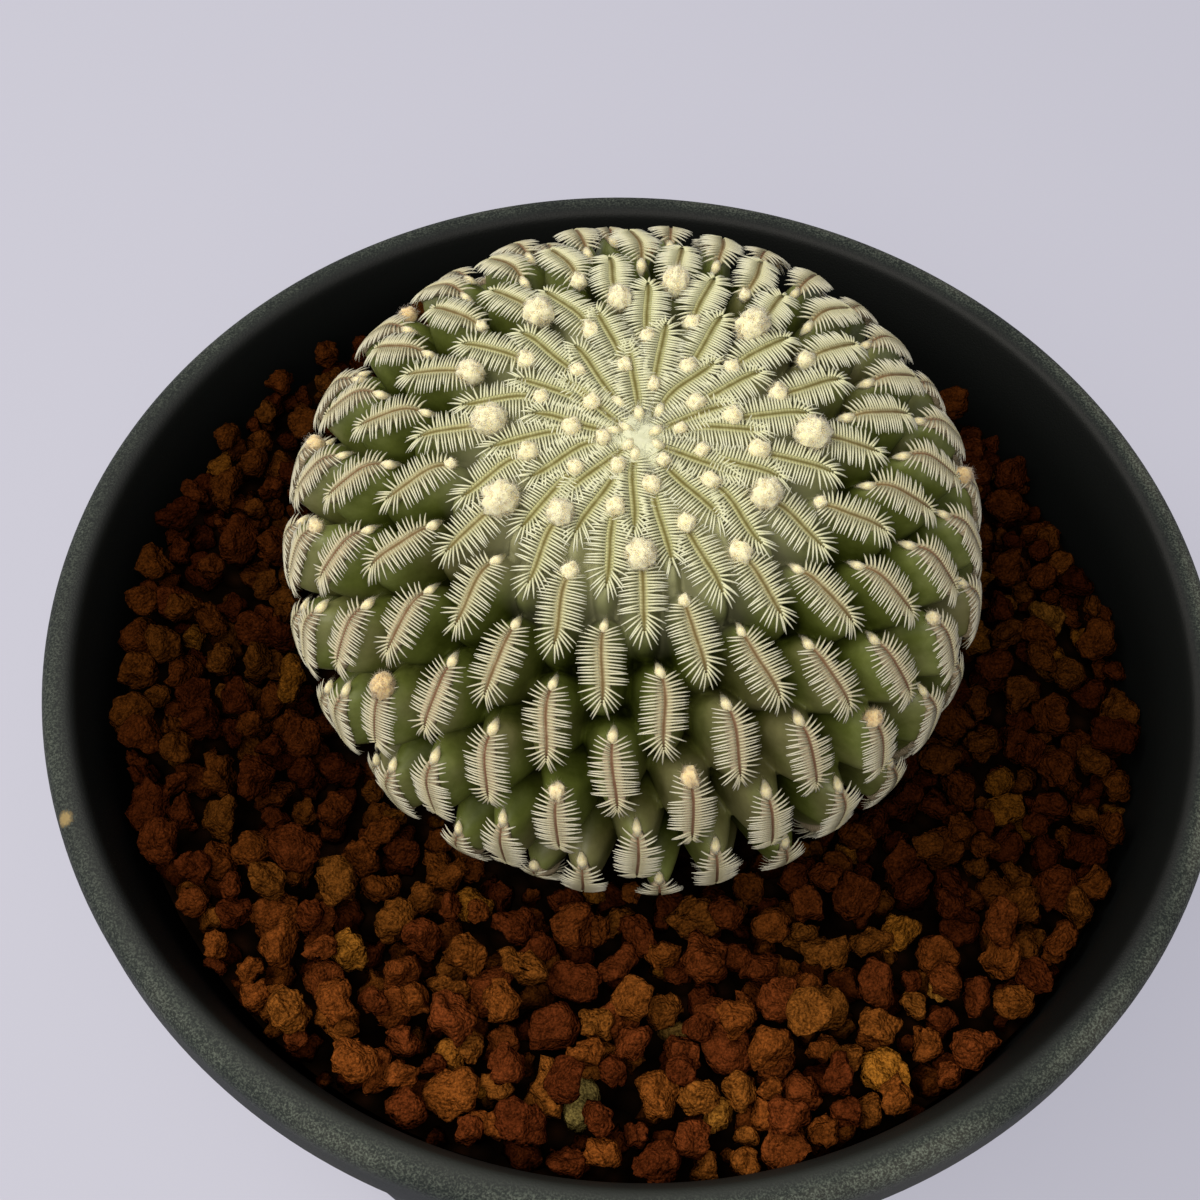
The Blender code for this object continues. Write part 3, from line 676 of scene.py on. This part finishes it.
FULL_TUFT = 1.15           # a tuft with a radius over this is a full ball
ROUND_TUFT = 0.6           # and one over this a small ball
TUFT_LONG = 1.0            # half length of a small tuft, along the crest
tufts = {
    "wool_tufts": with_hairs(lumpy_ball(2, 1, 0.4), 110, 1, (-0.9, 0, 0.5), 0.45, 1.15),
    "small_wool_balls": with_hairs(lumpy_ball(3, 4, 0.9), 300, 3, (-0.5, 0, 0.2), 0.35, 0.9),
    "wool_balls": with_hairs(lumpy_ball(4, 2, 0.8), 800, 2, (0, 0, 0.1), 0.25, 0.65)}
placed, dusts, aways = ({kind: [] for kind in tufts} for _ in range(3))
chance = random.Random(14)
for k in number:
    head = -length[k] / 2 + PAD_START
    size = 0.5 + 0.42 * ramp(k, 6, 14) * (1 - ramp(k, 38, 62))
    size += 0.72 * flowered[k] + 0.62 * flowered_before[k]
    size *= chance.uniform(0.88, 1.12)
    if size > ROUND_TUFT:
        kind = "wool_balls" if size > FULL_TUFT else "small_wool_balls"
        shape, _, lump = tufts[kind]
        marks = np.array([[head, 0, 0.4], [head + 0.5, 0, 0.4], [head, 0, 1.4]])
        seat, below, over = on_comb(k, *marks.T)
        up = (over - seat) / np.linalg.norm(over - seat)
        down = below - seat - up * np.dot(below - seat, up)
        down /= np.linalg.norm(down)
        twist = chance.uniform(0, math.tau)
        spread = shape @ np.array([[math.cos(twist), math.sin(twist), 0],
                                   [-math.sin(twist), math.cos(twist), 0], [0, 0, 1]])
        spread = spread * size * MM * [chance.uniform(0.9, 1.15), chance.uniform(0.85, 1.05),
                                       chance.uniform(1.0, 1.25)]
        away = spread @ np.array([down, np.cross(up, down), up])
        tuft = seat + up * (0.62 if size > FULL_TUFT else 0.42) * size * MM + away
        dusty = 0.9 * flowered_before[k]
    else:
        # A small tuft goes on from the end of its pad as a tapered tongue.
        kind = "wool_tufts"
        shape, _, lump = tufts[kind]
        taper = 1.0 - 0.55 * np.clip(-shape[:, 0], 0, 1.6) ** 1.5 / 1.6
        tuft = on_comb(k, head - 0.15 + shape[:, 0] * TUFT_LONG, shape[:, 1] * taper * size,
                       0.35 + shape[:, 2] * taper * size, root=head)
        away = tuft - tuft.mean(axis=0)
        dusty = 0.2 * age[k]
    placed[kind].append(tuft)
    dusts[kind].append(np.full(len(tuft), dusty))
    aways[kind].append(away * lump / MM)
for kind, (_, faces, _) in tufts.items():
    assemble(kind, faces, placed[kind], wool, "cactus_skin", dusty=dusts[kind], away=aways[kind])

# The growing point is hidden under a low mound of greenish wool and the first
# fine bristles, which lean outwards all round it.
CROWN_WOOL = 3.3           # radius of the mound
CROWN_HAIRS = 1300
BRISTLE_THICK = 0.045
mound, mound_faces = lumpy_ball(4, 3, 0.3)
from_middle = np.hypot(mound[:, 0], mound[:, 1]) * CROWN_WOOL
mound_turn = np.arctan2(mound[:, 1], mound[:, 0])
px = CROWN[0] + from_middle * np.cos(mound_turn)
py = CROWN[1] + from_middle * np.sin(mound_turn)
ruffle = 0.25 * np.sin(mound_turn * 5.0 + from_middle * 2.0)
mound = place_on_dome(np.hypot(px, py), np.arctan2(py, px), mound[:, 2] * (0.8 + ruffle) - 0.5)
assemble("crown_wool", mound_faces, [mound], young_wool, "cactus_skin")

chance = random.Random(27)
copies = []
for _ in range(CROWN_HAIRS):
    r, around = CROWN_WOOL * 1.15 * math.sqrt(chance.random()), chance.uniform(0, math.tau)
    bow = around + chance.gauss(0, 1.0)
    tall, leaned = chance.uniform(0.7, 1.6), chance.uniform(0.6, 0.95)
    outreach = hair[:, 2] * tall * leaned
    px = CROWN[0] + r * math.cos(around) + outreach * math.cos(bow) + hair[:, 0] * BRISTLE_THICK
    py = CROWN[1] + r * math.sin(around) + outreach * math.sin(bow) + hair[:, 1] * BRISTLE_THICK
    risen = hair[:, 2] * tall * math.sqrt(1 - leaned ** 2) - 0.2
    copies.append(place_on_dome(np.hypot(px, py), np.arctan2(py, px), risen))
assemble("crown_bristles", hair_faces, copies, young_wool, "cactus_skin")


# ---------------------------------------------------------------------------
# Surface gravel
# Baked clay crushed and sieved to 2 to 5 mm: angular, worn, porous grains, most
# of them red-brown, a few ochre, a few olive. They lie as they were poured.
# ---------------------------------------------------------------------------

SOIL_HEIGHT = POT_TOP - 11.2
SOIL_SLOPE = 3.3           # the soil's rise from its middle to the wall at its high side
SOIL_HIGH_SIDE = math.radians(150.0)
GRAINS = 900
FINEST, COARSEST, COMMONEST = 0.85, 2.45, 1.3      # radii
TRIES = 16                 # places tried for each grain, of which it takes the lowest
SHAPES = 12
FRONT_PULL = 2.2           # how strongly large grains roll to the front
OLIVE_STONE = (-3.2, -45.2, 2.3)   # middle and radius of one large olive grain
OLIVE_STRETCH = (0.85, 1.5, 0.8)


def soil_level(px, py):
    """Height of the soil, which slopes a little."""
    along = px * math.cos(SOIL_HIGH_SIDE) + py * math.sin(SOIL_HIGH_SIDE)
    return SOIL_HEIGHT + SOIL_SLOPE * along / inner_wall(SOIL_HEIGHT)


def stem_reach(z):
    """How far the stem stands out from its axis at a height, and a little more."""
    drop = min(abs(z - STEM_CENTRE[2]) / STEM_RISE, 0.999)
    return STEM_RADIUS * (1 - drop ** STEM_FULLNESS) ** (1 / STEM_FULLNESS) + 0.6


def poured():
    """Centres and radii of all the grains: the loose solids first, then the rest among them."""
    chance = random.Random(21)
    laid = []
    for name in sorted(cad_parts):
        if name.startswith("grain_"):
            low, high = [np.array(corner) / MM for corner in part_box(name)]
            laid.append((*((low + high) / 2), float(np.mean(high - low)) / 2))
    px, py, grain = OLIVE_STONE
    laid.append((px, py, soil_level(px, py) + 0.7 * grain, grain))
    while len(laid) < GRAINS:
        grain = chance.triangular(FINEST, COARSEST, COMMONEST)
        held = np.array(laid)
        best = None
        for _ in range(TRIES):
            r = (inner_wall(SOIL_HEIGHT) - grain * 0.9) * math.sqrt(chance.random())
            around = chance.uniform(0, math.tau)
            px, py = r * math.cos(around), r * math.sin(around)
            ground = soil_level(px, py) + 0.1 * grain
            gaps = np.hypot(held[:, 0] - px, held[:, 1] - py)
            reach = (held[:, 3] + grain) * 0.93
            over = gaps < reach
            rest = ground
            if over.any():
                rest = max(ground, np.max(held[over, 2] + np.sqrt(reach[over] ** 2 - gaps[over] ** 2)))
            clear = math.hypot(px - STEM_CENTRE[0], py - STEM_CENTRE[1]) - grain * 0.8
            if clear < stem_reach(rest) or clear < stem_reach(rest + grain):
                continue
            perch = rest - soil_level(px, py) + FRONT_PULL * (grain - 1.4) * py / inner_wall(SOIL_HEIGHT)
            if best is None or perch < best[0]:
                best = (perch, px, py, rest)
        if best:
            laid.append((*best[1:], grain))
    return laid


def crushed(seed):
    """One grain of radius about 1: a ball chipped flat in places, with a rough skin."""
    bpy.ops.object.select_all(action="DESELECT")
    bpy.ops.mesh.primitive_ico_sphere_add(subdivisions=3, radius=1.0)
    grain = bpy.context.object
    chance = random.Random(seed)
    corners = np.array([corner.co[:] for corner in grain.data.vertices])
    for _ in range(8):
        out = np.array([chance.gauss(0, 1) for _ in range(3)])
        out /= np.linalg.norm(out)
        over = np.maximum(corners @ out - chance.uniform(0.5, 0.88), 0)
        corners -= over[:, None] * out
    corners *= np.array([chance.uniform(1.1, 1.35), 1.0, chance.uniform(0.8, 1.0)])
    grain.data.vertices.foreach_set("co", corners.reshape(-1))
    for kind, scale, strength in (("CLOUDS", 0.8, 0.65), ("VORONOI", 0.6, -0.35), ("CLOUDS", 0.25, 0.35)):
        rough = bpy.data.textures.new("clay_lumps", kind)
        rough.noise_scale = scale * chance.uniform(0.85, 1.15)
        push = grain.modifiers.new("lumps", "DISPLACE")
        push.texture = rough
        push.strength = strength
        push.mid_level = 0.5
        bpy.ops.object.modifier_apply(modifier="lumps")
    return pattern_of(grain)


def turned(chance):
    """A random turn, as a matrix."""
    q = np.array([chance.gauss(0, 1) for _ in range(4)])
    a, b, c, d = q / np.linalg.norm(q)
    return np.array([[1 - 2 * (c * c + d * d), 2 * (b * c - a * d), 2 * (b * d + a * c)],
                     [2 * (b * c + a * d), 1 - 2 * (b * b + d * d), 2 * (c * d - a * b)],
                     [2 * (b * d - a * c), 2 * (c * d + a * b), 1 - 2 * (b * b + c * c)]])


# Porous baked clay: no gloss at all, a granular broken colour, and painted shade:
# darker low on each grain and towards the back and sides of the pot.
clay = new_finish("baked_clay", Roughness=1.0, Specular_IOR_Level=0.0)
place = add(clay, "ShaderNodeTexCoord").outputs["Object"]
shade = add(clay, "ShaderNodeAttribute", {"attribute_name": "shade"}).outputs["Fac"]
dark = add(clay, "ShaderNodeAttribute", {"attribute_name": "damp"}).outputs["Fac"]
body = add(clay, "ShaderNodeValToRGB", Fac=shade, stops=[
    (0.0, "#52250F"), (0.3, "#6A3416"), (0.6, "#784118"), (0.93, "#7C4A1B"), (0.97, "#A06622"),
    (0.995, "#A06622"), (1.0, "#7C6C3C")])
mottle = add(clay, "ShaderNodeTexNoise", Vector=place, Scale=900.0, Detail=8.0, Roughness=0.75)
grainy = add(clay, "ShaderNodeTexNoise", Vector=place, Scale=4200.0, Detail=3.0, Roughness=0.8)
# The clay is granular at about 0.4 mm, and pitted.
crumb = add(clay, "ShaderNodeTexVoronoi", Vector=place, Scale=2600.0, Randomness=1.0)
pit = add(clay, "ShaderNodeTexNoise", Vector=place, Scale=1300.0, Detail=2.0)
granule = add(clay, "ShaderNodeMath", {"operation": "SUBTRACT"}, i0=pit, i1=crumb)
broken = add(clay, "ShaderNodeMath", {"operation": "ADD"}, i0=mottle, i1=grainy)
worn = add(clay, "ShaderNodeMapRange", Value=broken, From_Min=0.84, From_Max=1.2, To_Min=0.3, To_Max=1.5)
granular = add(clay, "ShaderNodeVectorMath", {"operation": "SCALE"}, i0=body, Scale=worn)
# Painted shade, multiplied in: dark low on the grains and towards the back and sides of the pot.
shadowed = add(clay, "ShaderNodeMixRGB", {"blend_type": "MULTIPLY"}, Fac=dark, Color1=granular,
               Color2=linear("#2A1D14"))
link(clay, shadowed, "Base Color")
porous = add(clay, "ShaderNodeBump", Height=granule, Strength=1.0, Distance=0.26 * MM)
link(clay, porous, "Normal")

patterns = [crushed(30 + i) for i in range(SHAPES)]
loose = [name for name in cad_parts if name.startswith("grain_")]
chance = random.Random(33)
copies, shades, damps = [], [], []
for i, (px, py, pz, grain) in enumerate(poured()):
    corners = patterns[i % SHAPES][0] @ turned(chance).T * grain * 1.03
    tint = chance.random()
    if i == len(loose):                          # the olive one
        corners, tint = corners * OLIVE_STRETCH, 1.0
    copies.append((corners + [px, py, pz]) * MM)
    shades.append(np.full(len(corners), tint))
    # Painted shade: each grain is painted darker towards the soil.
    painted_low_shade = 1.0 - ramp(corners[:, 2] + pz - soil_level(px, py), 0.0, 3.6)
    painted_back_shade = 0.8 * (1.0 - ramp(-py, 12.0, 50.0))    # painted shade: darker towards the back and sides, lightest at the front
    damps.append(np.maximum(painted_low_shade, painted_back_shade))
clay_faces = patterns[0][1]                      # the same on every shape
third = (len(copies) - len(loose)) // 3 + 1
cuts = [0, len(loose), len(loose) + third, len(loose) + 2 * third, len(copies)]
names = ["loose_grains", "surface_gravel_1", "surface_gravel_2", "surface_gravel_3"]
for name, first, last in zip(names, cuts, cuts[1:]):
    piece = assemble(name, clay_faces, copies[first:last], clay, "red_clay_grain",
                     shade=shades[first:last], damp=damps[first:last])
    if name == "loose_grains":
        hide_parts(*loose)


# ---------------------------------------------------------------------------
# Stage
# A pale lavender-grey floor of opal acrylic that is lit from below, so the pot's
# shadow is faint; two large soft boxes high up, one in front and one at the left;
# and the camera above the front of the pot, tipped a little.
# ---------------------------------------------------------------------------

bpy.ops.object.select_all(action="DESELECT")
bpy.ops.mesh.primitive_plane_add(size=6.0)
floor = bpy.context.object
floor.name = "floor"
floor.data.materials.append(new_finish(
    "opal_backdrop", Base_Color=linear("#86868F"), Roughness=0.95, Specular_IOR_Level=0.0,
    Emission_Color=linear("#D3D2E1"), Emission_Strength=0.54))

world = bpy.data.worlds.new("studio")
bpy.context.scene.world = world
world.use_nodes = True
surround = world.node_tree.nodes["Background"]
surround.inputs["Color"].default_value = linear("#DAD9E6")
surround.inputs["Strength"].default_value = 0.27


def soft_light(name, spot, aim, size, power, shade):
    """A square soft box that looks at a point."""
    bpy.ops.object.light_add(type="AREA", location=spot)
    lamp = bpy.context.object
    lamp.name = name
    lamp.data.size = size
    lamp.data.energy = power
    lamp.data.color = linear(shade)[:3]
    away = lamp.location - Vector(aim)
    lamp.rotation_euler = away.to_track_quat("Z", "Y").to_euler()


RIM_MIDDLE = (0.0, 0.0, POT_TOP * MM)
soft_light("front", (-0.08, -0.34, 0.70), RIM_MIDDLE, 0.45, 3.7, "#FFFAEE")
soft_light("left", (-0.43, 0.08, 0.64), RIM_MIDDLE, 0.45, 3.5, "#FFFAEE")

CAMERA_AIM = np.array([-3.92, 5.54, POT_TOP - 2.0])
CAMERA_DISTANCE = 235.1
CAMERA_ELEVATION = math.radians(58.47)
CAMERA_ROLL = math.radians(3.18)
forward = np.array([0.0, math.cos(CAMERA_ELEVATION), -math.sin(CAMERA_ELEVATION)])
level_up = np.array([0.0, math.sin(CAMERA_ELEVATION), math.cos(CAMERA_ELEVATION)])
right = np.array([math.cos(CAMERA_ROLL), 0, 0]) + level_up * math.sin(CAMERA_ROLL)
upward = level_up * math.cos(CAMERA_ROLL) - np.array([math.sin(CAMERA_ROLL), 0, 0])
spot = (CAMERA_AIM - forward * CAMERA_DISTANCE) * MM
bpy.ops.object.camera_add()
camera = bpy.context.object
rows = [[right[i], upward[i], -forward[i], spot[i]] for i in range(3)]
camera.matrix_world = Matrix(rows + [[0, 0, 0, 1]])
camera.data.sensor_width = 36.0
camera.data.lens = 68.1
camera.data.clip_start = 0.01
bpy.context.scene.camera = camera
bpy.context.scene.view_settings.view_transform = "Standard"
